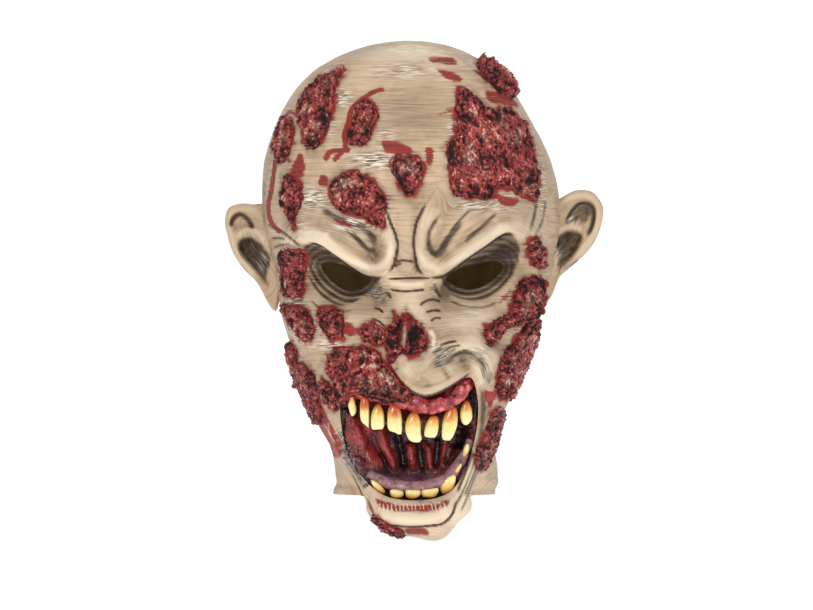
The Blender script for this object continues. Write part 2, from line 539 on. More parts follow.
half_turns = np.concatenate([np.arange(0, 50, 0.6), np.arange(50, 70, 1.0), np.arange(70, 95, 2.2),
    np.linspace(95, 180, 16)])
turn_list = np.concatenate([-half_turns[::-1], half_turns[1:]])
tall = np.linspace(3, 17, 3000)
tall_down = drawn(form_point(tall, np.zeros(3000)))[1]
down_list = np.concatenate([np.arange(tall_down[0], 204, 2.0), np.arange(204, 400, 1.25),
    np.arange(400, tall_down[-1], 1.6)])
level_list = np.concatenate([np.linspace(0, 3, 106)[:-1], np.interp(down_list, tall_down, tall),
    np.linspace(17, hem, 13)])
level_grid, turn_grid = np.meshgrid(level_list, turn_list, indexing="ij")
skin_points, skin_normals, skin_wash, skin_pale = skin(level_grid, turn_grid)
skin_u, skin_v = drawn(skin_points)

# wash in every hollow and dry brush on every ridge, from how the sheet lies against its surroundings
creases, ridges = np.zeros(skin_u.shape), np.zeros(skin_u.shape)
front = smoothstep(0.15, 0.5, -skin_normals[..., 1])
for reach, dark, light in ((1, 150.0, 90.0), (4, 42.0, 30.0), (12, 3.0, 5.0)):
    padded = np.pad(skin_points, ((reach, reach), (0, 0), (0, 0)), mode="edge")
    beside = np.roll(skin_points, reach, 1) + np.roll(skin_points, -reach, 1)
    around = (padded[2 * reach:] + padded[:-2 * reach] + beside) / 4
    hollow = ((around - skin_points) * skin_normals).sum(-1)
    creases += front * np.clip(hollow * 10 * dark, 0, 0.35)
    ridges += front * np.clip(-hollow * 10 * light, 0, 0.3)
between_brows = np.exp(-(((skin_u - 405.5) / 8) ** 4)) * smoothstep(203, 210, skin_v) * smoothstep(278, 270, skin_v)
skin_wash += np.minimum(creases, 0.5) * (1 - 0.9 * between_brows)
skin_pale += np.minimum(ridges, 0.4) + 0.25 * between_brows
# a thin dark wash towards the sides and back of the head
cloudy_wash = smoothstep(-0.3, 0.4, mottle(skin_points, 0.03, 9) + 0.3)
side_wash = 0.2 * smoothstep(0.55, 0.1, -skin_normals[..., 1]) * cloudy_wash
# broad tones: lighter coats on the crown, brows, cheeks and jaw, thin brown ones on the forehead and lip
tones = [
    # across, down, reach across, reach down, lighter or (negative) browner
    (412, 50, 62, 14, 0.9), (466, 322, 28, 20, 0.5), (325, 238, 22, 10, 0.7), (500, 200, 24, 8, 0.4),
    (466, 472, 14, 26, 0.8), (350, 298, 30, 9, 0.5),
    (500, 224, 14, 9, 0.4), (415, 511, 34, 7, 0.3), (455, 512, 12, 18, 0.3), (408, 118, 56, 40, -0.32),
    (424, 378, 26, 14, -0.3),
    (272, 210, 10, 50, -0.12), (545, 190, 8, 50, -0.08),
]
for *patch, amount in tones:
    share = soft_spot(skin_u, skin_v, *patch) * smoothstep(0.0, 0.3, -skin_normals[..., 1])
    skin_pale += max(amount, 0) * share
    skin_wash += max(-amount, 0) * share
skin_wash = np.clip(skin_wash + side_wash, 0, 1)
skin_pale = np.clip(skin_pale, 0, 0.9) * (1 - skin_wash)

# brushed lines run level, and follow the brows above their edges, the snarl fold, the lips and the jaw
flows = [(left_brow_edge[:8], 20, True), (left_brow_edge[7:], 12, True), (right_brow_edge[:8], 12, True),
    (right_brow_edge[7:], 20, True), (snarl_fold, 14, False), (upper_lip_edge, 13, False), (jaw_edge, 12, False),
    ([(478, 440), (470, 465), (462, 485), (452, 505)], 12, False)]
total, share = skin_v * 0.35, np.full(skin_v.shape, 0.35)
for points, reach, one_side in flows:
    path = smooth_path(points, step=5)
    far, side, _ = along_path(skin_u, skin_v, path)
    weight = np.exp(-(far / reach) ** 2) * 3
    if one_side:
        weight = weight * (side < 0)
    total = total + weight * (path[:, 1].mean() + far * side)
    share = share + weight
skin_grain = unit * total / share

# patches scrubbed with a dry brush, dark strokes and nearly white ones side by side
scrubbed = [
    # across, down, reach across, reach down, strength
    (343, 100, 9, 9, 0.9), (374, 162, 24, 8, 1.0), (386, 140, 9, 9, 0.7), (313, 200, 14, 11, 1.0),
    (352, 224, 19, 8, 1.0),
    (330, 128, 7, 14, 0.5), (404, 72, 30, 8, 0.5), (450, 150, 5, 34, 0.5), (484, 207, 30, 6, 0.8),
    (540, 190, 6, 34, 0.5),
    (433, 342, 4, 6, 0.9), (441, 357, 8, 9, 0.6), (304, 328, 16, 12, 0.7), (333, 344, 20, 5, 0.7),
    (478, 352, 8, 8, 0.6),
    (300, 226, 8, 12, 0.5), (388, 206, 5, 10, 0.5), (518, 340, 10, 20, 0.5), (484, 372, 6, 10, 0.8),
    (379, 293, 6, 8, 0.7), (432, 287, 4, 7, 0.5), (412, 50, 44, 7, 0.45), (342, 438, 5, 9, 1.0),
    (350, 458, 6, 8, 1.0), (362, 474, 7, 6, 1.0), (471, 60, 8, 8, 0.6), (462, 100, 8, 12, 0.4),
    (297, 300, 12, 6, 0.6), (466, 312, 20, 10, 0.25),
]
skin_scrub = np.zeros(skin_u.shape)
for *patch, strong in scrubbed:
    skin_scrub = np.maximum(skin_scrub, strong * soft_spot(skin_u, skin_v, *patch))
skin_scrub *= smoothstep(0.05, 0.4, -skin_normals[..., 1])

wounds = {
    "wound_crown_right": [[(347, 69), (338, 84), (335, 110), (330, 124), (324, 142), (315, 150), (306, 144),
        (302, 129), (298, 110), (303, 97), (316, 82), (332, 73)]],
    "wound_side_right": [[(283, 117), (292, 121), (294, 137), (291, 157), (280, 163), (274, 153), (276, 137)]],
    "wound_temple_right": [[(287, 177), (295, 177), (304, 191), (303, 203), (298, 217), (295, 232), (290, 217),
        (283, 203), (282, 191)]],
    "wound_forehead_right": [[(365, 102), (375, 105), (379, 117), (374, 132), (367, 144), (359, 149),
        (350, 145),
        (349, 132), (354, 117)]],
    "wound_brow_right": [[(340, 176), (354, 172), (367, 177), (378, 185), (387, 199), (385, 217), (383, 229),
        (367, 221), (354, 215), (340, 211), (330, 197), (330, 187)]],
    "wound_forehead_middle": [[(392, 160), (412, 157), (425, 170), (418, 189), (408, 199), (399, 186),
        (392, 170)]],
    "wound_crown_left": [[(478, 56), (488, 55), (498, 63), (510, 75), (522, 88), (520, 97), (508, 97),
        (498, 92),
        (486, 83), (478, 71)]],
    "wound_forehead_left": [[(458, 90), (470, 93), (479, 103), (487, 110), (504, 109), (516, 117), (526, 128),
        (533, 149), (536, 170), (535, 198), (522, 198), (509, 191), (497, 189), (490, 200), (474, 200),
        (456, 197),
        (449, 184), (448, 163), (446, 149), (455, 134), (455, 110)]],
    "wound_temple_left": [[(528, 238), (539, 240), (545, 255), (543, 268), (530, 263), (526, 251)]],
    "wound_cheekbone_left": [[(519, 280), (532, 276), (543, 280), (542, 297), (537, 315), (523, 324),
        (507, 327),
        (493, 342), (487, 345), (483, 331), (490, 321), (504, 313), (512, 299)]],
    "wound_cheek_left": [[(532, 317), (540, 330), (538, 343), (533, 362), (527, 379), (517, 391), (500, 398),
        (495, 381), (500, 357), (512, 339)]],
    "wound_jaw_left": [[(497, 405), (505, 417), (495, 443), (483, 466), (474, 464), (475, 447), (483, 431),
        (490, 410)]],
    "wound_eye_corner_right": [[(281, 253), (295, 249), (306, 253), (307, 274), (303, 294), (294, 298),
        (286, 295),
        (282, 278)]],
    "wound_cheekbone_right": [[(284, 303), (306, 308), (314, 322), (316, 335), (306, 342), (297, 332),
        (288, 318)]],
    "wound_under_eye_right": [[(318, 311), (331, 306), (342, 311), (345, 326), (345, 337), (334, 340),
        (324, 332)]],
    "wound_nose_side": [[(358, 332), (365, 324), (374, 322), (386, 330), (382, 344), (369, 341)]],
    "wound_nose": [[(386, 328), (391, 323), (395, 311), (399.5, 316), (403, 310), (405, 318), (403, 326),
        (401.5, 337),
        (402, 347), (399, 354), (392, 361), (388, 358)], [(405, 309), (409, 314), (415, 320), (426, 332),
        (427.5, 341), (425, 348), (418, 353.5), (404, 353.5), (406, 345), (408, 335), (407.5, 322)]],
    "wound_lip_right": [[(338, 347), (361, 345), (375, 349), (384, 360), (393, 369), (401, 379), (410, 388),
        (403, 397), (390, 399), (374, 394), (358, 391), (349, 396), (340, 402), (334, 383), (327, 365),
        (330, 355)]],
    "wound_cheek_right": [[(284, 343), (292, 340), (298, 354), (297, 370), (301, 386), (290, 381), (284, 361)]],
    "wound_jaw_right": [[(299, 363), (312, 369), (319, 387), (324, 418), (313, 420), (304, 396), (296, 381)],
        [(323, 376), (332, 384), (339, 407), (329, 403), (321, 387)]],
    "wound_chin": [[(374, 512), (388, 519), (404, 526), (402, 534), (383, 537), (372, 526)]],
}
wound_shapes = {name: [smooth_path(outline, closed=True) for outline in outlines]
    for name, outlines in wounds.items()}


def within_wound(points, shapes):
    """How far inside a wound's outline points lie; at the side of the head the outline closes in a bow."""
    u, v = drawn(points)
    inside = np.max([inside_by(u, v, shape) for shape in shapes], axis=0)
    ends = np.concatenate(shapes)[:, 1]
    bow = np.sqrt(np.clip(1 - ((2 * v - ends.min() - ends.max()) / np.ptp(ends)) ** 2, 0, 1))
    return np.minimum(inside, (0.03 * bow - 0.026 - points[..., 1]) / unit)


smears = [
    # how strong, then an outline
    (0.85, [(302, 153), (306, 165), (304, 178), (293, 176), (294, 164)]),
    (0.9, [(382, 143), (396, 144), (411, 150), (410, 157), (396, 156), (385, 152)]),
    (0.85, [(425, 150), (433, 152), (433, 164), (427, 166)]),
    (0.9, [(322, 176), (329, 178), (328, 187), (320, 185)]),
    (0.7, [(334, 219), (345, 221), (354, 224), (352, 228), (340, 225)]),
    (0.8, [(428, 59), (446, 58), (458, 62), (456, 66), (440, 66), (430, 64)]),
    (0.8, [(437, 72), (449, 73), (461, 79), (459, 84), (446, 81)]),
    (0.6, [(436, 117), (445, 112), (454, 108), (454, 112), (444, 117)]),
    (0.8, [(484, 92), (500, 93), (514, 100), (518, 108), (500, 106), (488, 103)]),
    (0.8, [(494, 195), (506, 197), (518, 199), (512, 207), (500, 205)]),
    (0.8, [(344, 321), (354, 323), (356, 334), (347, 334)]),
    (0.9, [(406, 523), (426, 524), (427, 530), (408, 530)]),
    (0.95, [(483, 388), (493, 391), (493, 399), (489, 405), (484, 398)]),
    (0.7, [(366, 493), (372, 498), (375, 510), (369, 505)]),
    (0.85, [(376, 494), (384, 497), (400, 500), (420, 501), (438, 499), (448, 493), (446, 502), (430, 506),
        (410, 507),
        (392, 506), (380, 502)]),
    (0.6, [(511, 284), (507, 296), (498, 304), (497, 300), (505, 292)]),
]
drips = [
    # width, strength, then the path
    (2.3, 1.4, [(276, 162), (274, 177), (272, 191), (269, 204), (271, 220), (280, 231)]),
    (2.6, 1.0, [(382, 92), (374, 94), (365, 100), (353, 110), (349, 124), (345, 137), (346, 149), (336, 161)]),
    (3.2, 0.8, [(349, 152), (332, 153), (327, 160)]),
    (2.0, 0.8, [(300, 118), (290, 112), (286, 118)]),
    (7.0, 1.1, [(314, 414), (320, 428), (328, 440), (336, 450)]),
    (3.0, 1.0, [(322, 408), (330, 424), (340, 442)]),
]
skin_blood = np.zeros(skin_u.shape)
ragged = mottle(skin_points, 0.004, 21)
on_front = skin_normals[..., 1] < 0.35
for strong, outline in smears:
    inside = inside_by(skin_u, skin_v, smooth_path(outline, closed=True))
    skin_blood = np.maximum(skin_blood, strong * smoothstep(-2.5, 2.5, inside + 1.0 * ragged))
for width, strong, points in drips:
    far = along_path(skin_u, skin_v, smooth_path(points))[0]
    skin_blood = np.maximum(skin_blood, strong * smoothstep(1.5 * width, 0.3 * width, far + 0.3 * ragged))
for shapes in wound_shapes.values():
    inside = within_wound(skin_points, shapes)
    skin_blood = np.maximum(skin_blood, 0.85 * smoothstep(-4.0, 1.5, inside + 3.2 * ragged))
    skin_wash = np.maximum(skin_wash, 0.4 * smoothstep(-9, 0, inside + 4 * ragged))
septum = np.exp(-((skin_u - 403.2) / 2.2) ** 2) * smoothstep(318, 326, skin_v) * smoothstep(354, 346, skin_v)
skin_blood *= on_front * (1 - 0.8 * septum)

made, row, column = grid_of(len(level_list), len(turn_list))
lay(made, skin_points[row, column], grain=skin_grain[row, column], wash=skin_wash[row, column],
    pale=skin_pale[row, column], blood=skin_blood[row, column], scrub=skin_scrub[row, column])
front_half = -0.03
for opening in openings:
    corners = np.array([vertex.co[:] for vertex in made.verts])
    deep = dict(zip(made.verts, inside_by(*drawn(corners), opening) * (corners[:, 1] < front_half)))
    hole = [face for face in made.faces if sum(deep[vertex] for vertex in face.verts) > 0
        and sum(deep[vertex] > 0 for vertex in face.verts) >= 2]
    border = {vertex for face in hole for vertex in face.verts}
    bmesh.ops.delete(made, geom=hole, context="FACES")
    # the hole's rim moves to the nearest place of the drawn edge
    starts, steps = opening[:-1], np.diff(opening, axis=0)
    for vertex in border:
        if not vertex.is_valid:
            continue
        here = np.array(drawn(np.array(vertex.co[:])))
        t = np.clip(((here - starts) * steps).sum(1) / np.maximum((steps**2).sum(1), 1e-9), 0, 1)
        spots = starts + steps * t[:, None]
        spot = spots[np.argmin(((spots - here) ** 2).sum(1))]
        vertex.co = undrawn(spot[0], spot[1], vertex.co.y)
skin_seam = [vertex for vertex in made.verts if abs(vertex.co.x) < 0.012 and vertex.co.y > 0]
top = [vertex for vertex in made.verts if vertex.co.z > -0.004]
bmesh.ops.remove_doubles(made, verts=list(set(skin_seam + top)), dist=2e-5)
# every open edge is rolled back in two steps, the neck's towards its middle
rims = [edge for edge in made.edges if edge.is_boundary]
for back in (0.0009, 0.0027):
    grown = bmesh.ops.extrude_edge_only(made, edges=rims)["geom"]
    rims = [part for part in grown if isinstance(part, bmesh.types.BMEdge)]
    for vertex in {vertex for edge in rims for vertex in edge.verts}:
        if vertex.co.z < -0.29 and vertex.co.y > -0.055:
            vertex.co.x *= 0.988
            vertex.co.y *= 0.988
        else:
            vertex.co.y += back
turn_faces(made)
fit(piece_from(made, "latex_skin", latex), "skin_latex", "mask_shell")

# a chart of how far forward the skin lies at each place of the drawing, for what is set into the head
chart = np.full((620, 460), np.nan)
seen = (skin_normals[..., 1] < -0.02) & (skin_points[..., 1] < 0)
chart_row = np.rint(skin_v[seen]).astype(int)
chart_column = np.rint(skin_u[seen]).astype(int) - 190
chart[chart_row, chart_column] = skin_points[..., 1][seen]
for _ in range(40):
    empty = np.isnan(chart)
    if not empty[60:540, 60:400].any():
        break
    around = np.stack([np.roll(chart, shift, axis) for shift in (-1, 1) for axis in (0, 1)])
    known = np.where(np.isnan(around), 0, around).sum(0) / np.maximum((~np.isnan(around)).sum(0), 1)
    chart = np.where(empty & (~np.isnan(around)).any(0), known, chart)


def front_at(u, v):
    return chart[np.clip(np.rint(v).astype(int), 0, 619), np.clip(np.rint(u).astype(int) - 190, 0, 459)]


# The inside of the casting: bare latex, as it comes out of the mould, a wall's thickness under the painted
# face. It lies 1.2 mm deeper than that, clear of the deepest folds.
inner_gap = 0.0012

# bare latex: unpainted rubber, which looks dull, cloudy and yellowish
bare = new_material("bare_latex")
place = add(bare, "TexCoord")["Object"]
cloudy = add(bare, "TexNoise", {"Vector": place, "Scale": 1 / 0.015, "Detail": 4.0})["Fac"]
tint = add(bare, "ValToRGB", {0: cloudy}, ramp=((0.3, "#B39B6C"), (0.7, "#CDB98C")))[0]
drops = add(bare, "TexNoise", {"Vector": place, "Scale": 1 / 0.003, "Detail": 2.0})["Fac"]
bump = add(bare, "Bump", {"Strength": 0.3, "Distance": 0.0006, "Height": drops})[0]
shader = add(bare, "BsdfPrincipled", {"Base Color": tint, "Roughness": 0.6, "Normal": bump})
add(bare, "OutputMaterial", {"Surface": shader[0]})
inner_levels = np.concatenate([np.linspace(0, 3, 30)[:-1], np.linspace(3, hem, 130)])
inner_turns = np.linspace(-180, 180, 181)
levels, around_turns = np.meshgrid(inner_levels, inner_turns, indexing="ij")
points = skin(levels, around_turns, -wall - inner_gap)[0]
made, row, column = grid_of(len(inner_levels), len(inner_turns))
lay(made, points[row, column])
for opening in openings:
    centres = np.array([face.calc_center_median()[:] for face in made.faces])
    cut = (inside_by(*drawn(centres), opening) > -7) & (centres[:, 1] < front_half)
    bmesh.ops.delete(made, geom=[face for face, gone in zip(made.faces, cut) if gone], context="FACES")
bmesh.ops.remove_doubles(made, verts=made.verts, dist=2e-5)
turn_faces(made, forwards=False)
fit(piece_from(made, "latex_inside", bare), "skin_latex")

# The wounds: clots of red-tinted latex mixed with crumb, pressed on the skin while wet and glazed with gloss.
# Each is a thick crust of lumps inside lumps, with dark gaps and pinkish tips.

# clotted latex: crumb under gloss, wet on its tops, dull and nearly black in its gaps
clot = new_material("clotted_latex")
place = add(clot, "TexCoord")["Object"]
raised = add(clot, "Attribute", attribute_name="raised")["Fac"]
dirt = add(clot, "Attribute", attribute_name="dirt")["Fac"]
# crumb of about 1.9 mm, each grain of its own tone from clear red to greyish pink
grains = add(clot, "TexVoronoi", {"Vector": place, "Scale": 1 / 0.0019})
grain_tone = add(clot, "SeparateColor", {0: grains["Color"]})
cloudy = add(clot, "TexNoise", {"Vector": place, "Scale": 1 / 0.011, "Detail": 4.0})["Fac"]
lift = add(clot, "Math", {0: cloudy, 1: 1.2, 2: -0.64}, operation="MULTIPLY_ADD")[0]
tone = add(clot, "Math", {0: raised, 1: lift}, operation="ADD")[0]
tone = add(clot, "Math", {0: grain_tone[0], 1: 0.42, 2: tone}, operation="MULTIPLY_ADD")[0]
tone = add(clot, "Math", {0: grains["Distance"], 1: -0.45, 2: tone}, operation="MULTIPLY_ADD")[0]
red = add(clot, "ValToRGB", {0: tone}, ramp=((0.0, "#180706"), (0.26, "#430E0F"), (0.48, "#882A28"),
    (0.74, "#A84640"), (0.92, "#BC7868"), (1.0, "#D2AC9A")))[0]
brown = add(clot, "ValToRGB", {0: tone}, ramp=((0.08, "#1C120E"), (0.4, "#54382E"), (0.7, "#93685A"),
    (1.0, "#CDB09A")))[0]
dirty = add(clot, "Math", {0: grain_tone[1], 1: 0.6, 2: dirt}, operation="MULTIPLY_ADD")[0]
dirty = add(clot, "MapRange", {0: dirty, 1: 0.45, 2: 0.75, 3: 0.0, 4: 0.85})[0]
red = add(clot, "Mix", {0: dirty, 6: red, 7: brown}, data_type="RGBA")[2]
bump = add(clot, "Bump", {"Strength": 0.9, "Distance": 0.001, "Height": grains["Distance"]},
    invert=True)[0]
dull = add(clot, "MapRange", {0: tone, 1: 0.25, 2: 0.6, 3: 0.8, 4: 0.1})[0]
shader = add(clot, "BsdfPrincipled", {"Base Color": red, "Roughness": dull, "Normal": bump,
    "Specular IOR Level": 0.35})
add(clot, "OutputMaterial", {"Surface": shader[0]})


def clumps(points, size, seed):
    """Round lumps of about the size: height from 0 in the gaps to 1 on top."""
    at = points / size
    low = np.floor(at).astype(np.int64)
    nearest = np.full(points.shape[:-1], 9.0)
    for corner in np.ndindex(3, 3, 3):
        cell = low + corner - 1
        centre = cell + np.stack([scatter(cell, seed + k) for k in range(3)], -1)
        nearest = np.minimum(nearest, np.linalg.norm(at - centre, axis=-1))
    return np.sqrt(np.clip(1 - (nearest / 0.8) ** 2, 0, 1))


crust_cell = 0.00062
# how far the boldest crusts stand up, against the others
standing = {"wound_crown_left": 1.9, "wound_cheekbone_left": 1.3, "wound_cheek_left": 1.3, "wound_cheek_right": 1.3}
for name, shapes in wound_shapes.items():
    near = np.zeros(skin_u.shape, bool)
    for shape in shapes:
        low, high = shape.min(axis=0) - 5, shape.max(axis=0) + 5
        near |= (skin_u > low[0]) & (skin_u < high[0]) & (skin_v > low[1]) & (skin_v < high[1])
    near &= skin_normals[..., 1] < 0.35
    near &= skin_points[..., 1] < 0.03
    low_level, high_level = level_grid[near].min(), level_grid[near].max()
    low_turn, high_turn = turn_grid[near].min(), turn_grid[near].max()
    dense = np.linspace(low_level, high_level, 200)
    steps = np.linalg.norm(np.diff(form_point(dense, np.full(200, (low_turn + high_turn) / 2)), axis=0), axis=1)
    length = np.concatenate([[0], np.cumsum(steps)])
    rows = int(length[-1] / crust_cell) + 2
    levels = np.interp(np.linspace(0, length[-1], rows), length, dense)
    dense_turns = np.linspace(low_turn, high_turn, 200)
    middle_level = np.full(200, (low_level + high_level) / 2)
    wide = np.linalg.norm(np.diff(form_point(middle_level, dense_turns), axis=0), axis=1).sum()
    columns = int(wide / crust_cell) + 2
    level_patch, turn_patch = np.meshgrid(levels, np.linspace(low_turn, high_turn, columns), indexing="ij")
    points, normals, _, _ = skin(level_patch, turn_patch)
    u, v = drawn(points)
    inside = within_wound(points, shapes)
    inside += 2.4 * mottle(points, 0.005, 31) + 1.8 * mottle(points, 0.0018, 32)
    whole = smoothstep(-0.5, 3.5, inside)
    big, small, tiny = clumps(points, 0.0066, 41), clumps(points, 0.0031, 51), clumps(points, 0.0015, 61)
    worms = np.clip(1 - 4 * np.abs(mottle(points, 0.0052, 43)), 0, 1) ** 0.7
    twigs = np.clip(1 - 4 * np.abs(mottle(points, 0.0029, 44)), 0, 1) ** 0.7
    edge_roll = np.exp(-((inside - 1.6) / 1.3) ** 2)
    edge_gap = np.exp(-((inside - 4.2) / 1.4) ** 2)
    shallow = smoothstep(0.15, 0.45, mottle(points, 0.0095, 45)) * smoothstep(3, 6, inside)
    thick = 0.0006 + 0.0013 * big + 0.0012 * small * (0.5 + 0.5 * big) + 0.0007 * tiny + 0.0010 * worms + 0.0005 * twigs
    thick = (thick + 0.0008 * edge_roll - 0.0009 * edge_gap) * (1 - 0.55 * shallow) * standing.get(name, 1.0)
    height = whole * thick - (1 - whole) * 0.0009
    jitter = np.stack([mottle(points, 0.0022, 71 + k) for k in range(3)], -1) * 0.0004 * whole[..., None]
    points = points + normals * height[..., None] + jitter
    nostrils = soft_spot(u, v, 414, 337, 7, 8) + 0.7 * soft_spot(u, v, 393, 338, 4, 9)
    raise_share = 0.18 * big + 0.32 * small * (0.4 + 0.6 * big) + 0.2 * tiny + 0.24 * worms + 0.12 * twigs
    raise_share = raise_share + 0.22 * edge_roll - 0.3 * edge_gap - 0.7 * nostrils
    raise_share = np.clip(raise_share, 0, 1) * (0.35 + 0.65 * whole)
    made, row, column = grid_of(rows, columns)
    lay(made, points[row, column], raised=raise_share[row, column], dirt=(0.45 * shallow)[row, column])
    depth = dict(zip(made.verts, inside[row, column]))
    outside = [face for face in made.faces if max(depth[vertex] for vertex in face.verts) < -1.5]
    bmesh.ops.delete(made, geom=outside, context="FACES")
    bmesh.ops.reverse_faces(made, faces=made.faces)
    fit(piece_from(made, name.replace("wound_", "crust_"), clot), "wound_latex", name)

# The mouth lining: a dish of latex set behind the open mouth, cast with the ribs of torn muscle and painted
# in two reds under gloss, with near black in the gaps.

# glossed muscle latex: red paint under varnish, drawn out in fibres that catch the light
muscle = new_material("glossed_muscle_latex")
place = add(muscle, "TexCoord")["Object"]
raised = add(muscle, "Attribute", attribute_name="raised")["Fac"]
fibres_at = add(muscle, "Mapping", {"Vector": place, "Scale": (900.0, 300.0, 120.0)})[0]
fibres = add(muscle, "TexNoise", {"Vector": fibres_at, "Scale": 1.0, "Detail": 3.0})["Fac"]
lift = add(muscle, "Math", {0: fibres, 1: 0.5, 2: -0.25}, operation="MULTIPLY_ADD")[0]
tone = add(muscle, "Math", {0: raised, 1: lift}, operation="ADD")[0]
red = add(muscle, "ValToRGB", {0: tone}, ramp=((0.05, "#1C1112"), (0.35, "#4A1A1C"), (0.6, "#872826"),
    (0.9, "#B04C48")))[0]
floor_of_mouth = add(muscle, "Attribute", attribute_name="mauve")["Fac"]
grey = add(muscle, "ValToRGB", {0: tone}, ramp=((0.05, "#1A1012"), (0.25, "#5A3A40"), (0.7, "#A07C82")))[0]
floor_share = add(muscle, "Math", {0: floor_of_mouth, 1: 0.75}, operation="MULTIPLY")[0]
red = add(muscle, "Mix", {0: floor_share, 6: red, 7: grey}, data_type="RGBA")[2]
bump = add(muscle, "Bump", {"Strength": 0.8, "Distance": 0.0012, "Height": fibres})[0]
shader = add(muscle, "BsdfPrincipled", {"Base Color": red, "Roughness": 0.13, "Normal": bump, "IOR": 1.5})
add(muscle, "OutputMaterial", {"Surface": shader[0]})
ribs = [
    (6.5, 5.0, [(350, 404), (357, 425), (368, 447), (383, 470)]),
    (4.2, 4.5, [(378, 420), (386, 444), (396, 472)]),
    (3.5, 3.0, [(362, 408), (372, 430), (386, 455)]),
    (3.6, 3.6, [(409, 438), (411, 452), (414, 470)]),
    (3.4, 3.4, [(427, 440), (429, 454), (431, 470)]),
    (3.4, 3.2, [(446, 430), (443, 450), (439, 468)]),
    (2.6, -2.5, [(370, 424), (379, 446), (391, 470)]),
    (3.4, -4.0, [(396, 425), (401, 447), (405, 470)]),
    (2.6, -3.0, [(418, 436), (420, 452), (423, 470)]),
    (2.8, -3.0, [(437, 432), (437, 448), (435, 468)]),
    (7.0, -6.0, [(462, 418), (461, 434), (457, 448)]),
    (8.0, 4.0, [(378, 479), (396, 484), (420, 485), (442, 480), (456, 468)]),
]
mouth_outline = smooth_path(mouth_edge, closed=True)
down_range, across_range = np.linspace(368, 502, 150), np.linspace(332, 484, 160)
v, u = np.meshgrid(down_range, across_range, indexing="ij")
inside = inside_by(u, v, mouth_outline)
rim_y = front_at(u, v) + wall + 0.0012
deep = np.minimum(-0.0745, rim_y + 0.04)
cup = 1 - (1 - smoothstep(-7, 30, inside)) ** 1.5
y = rim_y + (deep - rim_y) * cup
rib_height, tone = np.zeros(u.shape), np.full(u.shape, 0.34)
for width, rise, points in ribs:
    far, _, share = along_path(u, v, smooth_path(points))
    taper = smoothstep(0, 0.2, share) * smoothstep(0, 0.2, 1 - share)
    shape = np.exp(-(far / width) ** 2) * taper
    rib_height += 0.001 * rise * shape
    tone = tone + np.sign(rise) * 0.4 * shape
points = undrawn(u, v, y - rib_height)
lumps = clumps(points, 0.005, 81)
points[..., 1] -= 0.0008 * lumps
crumbs = clumps(points, 0.0024, 82) * smoothstep(0.0, 0.3, mottle(points, 0.009, 83) + 0.5 * smoothstep(22, 8, inside))
points[..., 1] -= 0.0009 * crumbs
tone = tone + 0.12 * lumps + 0.25 * (crumbs - 0.4) * (crumbs > 0) - 0.1 + 0.14 * mottle(points, 0.006, 84)
tone = np.clip(tone - 0.25 * smoothstep(25, 4, inside) * smoothstep(430, 400, v), 0, 1)
mauve = smoothstep(462, 480, v + 0.004 * (u - 412) ** 2)
tone = tone * (1 - 0.9 * smoothstep(483, 488, v + 0.004 * (u - 412) ** 2))
made, row, column = grid_of(150, 160)
lay(made, points[row, column], raised=tone[row, column], mauve=mauve[row, column])
depth = dict(zip(made.verts, inside[row, column]))
bmesh.ops.delete(made, geom=[face for face in made.faces if max(depth[vertex] for vertex in face.verts) < -6],
    context="FACES")
turn_faces(made)
lining = piece_from(made, "muscle_lining", muscle)
lining_wall = lining.modifiers.new("wall", "SOLIDIFY")
lining_wall.thickness, lining_wall.offset = 0.0022, -1
fit(lining, "mouth_latex", "mouth_lining")

# The gums: two rolls of latex that the teeth stand in, painted a wet pink-red, lumpy where they swell
# between the teeth.

# glossed gum latex: wet pink over dark red, with small highlights on the lumps
gum_latex = new_material("glossed_gum_latex")
place = add(gum_latex, "TexCoord")["Object"]
raised = add(gum_latex, "Attribute", attribute_name="raised")["Fac"]
cloudy = add(gum_latex, "TexNoise", {"Vector": place, "Scale": 1 / 0.004, "Detail": 3.0})["Fac"]
lift = add(gum_latex, "Math", {0: cloudy, 1: 0.9, 2: -0.45}, operation="MULTIPLY_ADD")[0]
tone = add(gum_latex, "Math", {0: raised, 1: lift}, operation="ADD")[0]
pink = add(gum_latex, "ValToRGB", {0: tone}, ramp=((0.1, "#3C1214"), (0.4, "#8A2026"), (0.7, "#AC3A40"),
    (1.0, "#DA9694")))[0]
greyed = add(gum_latex, "Attribute", attribute_name="mauve")["Fac"]
grey = add(gum_latex, "ValToRGB", {0: tone}, ramp=((0.1, "#4A363A"), (0.6, "#94787C"), (1.0, "#B8A0A2")))[0]
pink = add(gum_latex, "Mix", {0: greyed, 6: pink, 7: grey}, data_type="RGBA")[2]
bump = add(gum_latex, "Bump", {"Strength": 0.4, "Distance": 0.0006, "Height": cloudy})[0]
shader = add(gum_latex, "BsdfPrincipled", {"Base Color": pink, "Roughness": 0.13, "Normal": bump, "IOR": 1.5})
add(gum_latex, "OutputMaterial", {"Surface": shader[0]})
gum_set_back = 0.0088
gum_rolls = [
    # name, colour level, share of mauve, then across, down and radius along the roll
    ("upper_gum", 0.42, 0.0, [(346, 392, 4), (362, 391, 5), (380, 394, 6), (396, 396, 7), (412, 400, 7.5),
        (428, 402.5, 8), (445, 398.5, 8), (458, 390, 7.5), (467, 380, 5.5), (472, 372, 3)]),
    ("lower_gum", 0.45, 0.8, [(368, 469, 4), (382, 477, 5), (398, 482, 5.5), (414, 483, 5.5), (430, 481, 5.5),
        (446, 475, 6), (457, 462, 5), (464, 450, 4), (470, 436, 3.5)]),
]
